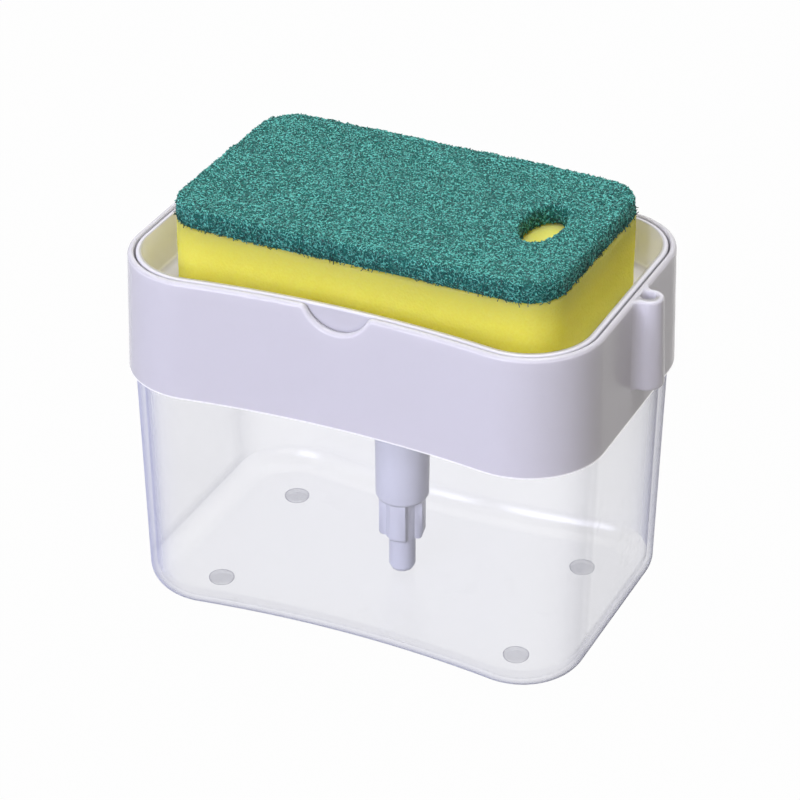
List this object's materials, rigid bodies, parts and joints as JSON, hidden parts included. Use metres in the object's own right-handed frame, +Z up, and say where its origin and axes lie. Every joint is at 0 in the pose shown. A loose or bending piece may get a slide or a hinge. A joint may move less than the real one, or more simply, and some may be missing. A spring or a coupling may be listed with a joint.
{
  "type": "soap pump caddy",
  "caption": "Worktop soap pump caddy: clear soap reservoir, white frame with a piston pump, and a sprung sponge tray that brings soap up when pressed.",
  "frame": {"origin": "on the pump axis, on the surface that the feet stand on", "axes": "+Z up along the pump axis, +X towards the end with the tool socket, -Y towards the side with the finger notch"},
  "size_m": [0.1476, 0.0936, 0.1234],
  "materials": {
    "clear_container": "clear, polished",
    "clear_feet": "clear, soft",
    "white_shell": "glossy moulded",
    "pump_plastic": "natural, slightly milky",
    "white_tray": "glossy moulded",
    "seal_rubber": "matt",
    "spring_steel": "drawn wire",
    "ball_steel": "polished",
    "yellow_foam": "open-celled foam",
    "green_pad": "non-woven fibre"
  },
  "bodies": {
    "reservoir": {"container": "clear_container", "feet": "clear_feet"},
    "frame_unit": {"frame": "white_shell", "pump_housing": "pump_plastic", "housing_gasket": "seal_rubber", "locking_nut": "white_shell", "guide_bush": "pump_plastic", "ball_cage": "pump_plastic", "suction_tube": "pump_plastic", "return_spring": "spring_steel"},
    "inlet_ball": {"inlet_ball": "ball_steel"},
    "plunger": {"stem": "pump_plastic", "piston": "pump_plastic", "piston_seal": "seal_rubber"},
    "outlet_ball": {"outlet_ball": "ball_steel"},
    "tray_unit": {"tray": "white_tray", "hub_ring": "seal_rubber", "outlet_cap": "white_tray"},
    "sponge": {"foam_block": "yellow_foam", "scouring_pad": "green_pad"}
  },
  "joints": [
    {"name": "frame_lift", "type": "slide", "parent": "reservoir", "child": "frame_unit", "axis": [0, 0, 1], "range_m": [0, 0.08]},
    {"name": "inlet_ball_lift", "type": "slide", "parent": "frame_unit", "child": "inlet_ball", "axis": [0, 0, 1], "range_m": [0, 0.0015]},
    {"name": "tray_press", "type": "slide", "parent": "frame_unit", "child": "plunger", "axis": [0, 0, -1], "range_m": [0, 0.01], "stiffness_N_per_m": 300, "springref_m": -0.015, "deforming": ["return_spring"]},
    {"name": "outlet_ball_lift", "type": "slide", "parent": "plunger", "child": "outlet_ball", "axis": [0, 0, 1], "range_m": [0, 0.0012]},
    {"name": "tray_lift", "type": "slide", "parent": "plunger", "child": "tray_unit", "axis": [0, 0, 1], "range_m": [0, 0.03]},
    {"name": "sponge_lift", "type": "slide", "parent": "tray_unit", "child": "sponge", "axis": [0, 0, 1], "range_m": [0, 0.04]}
  ]
}
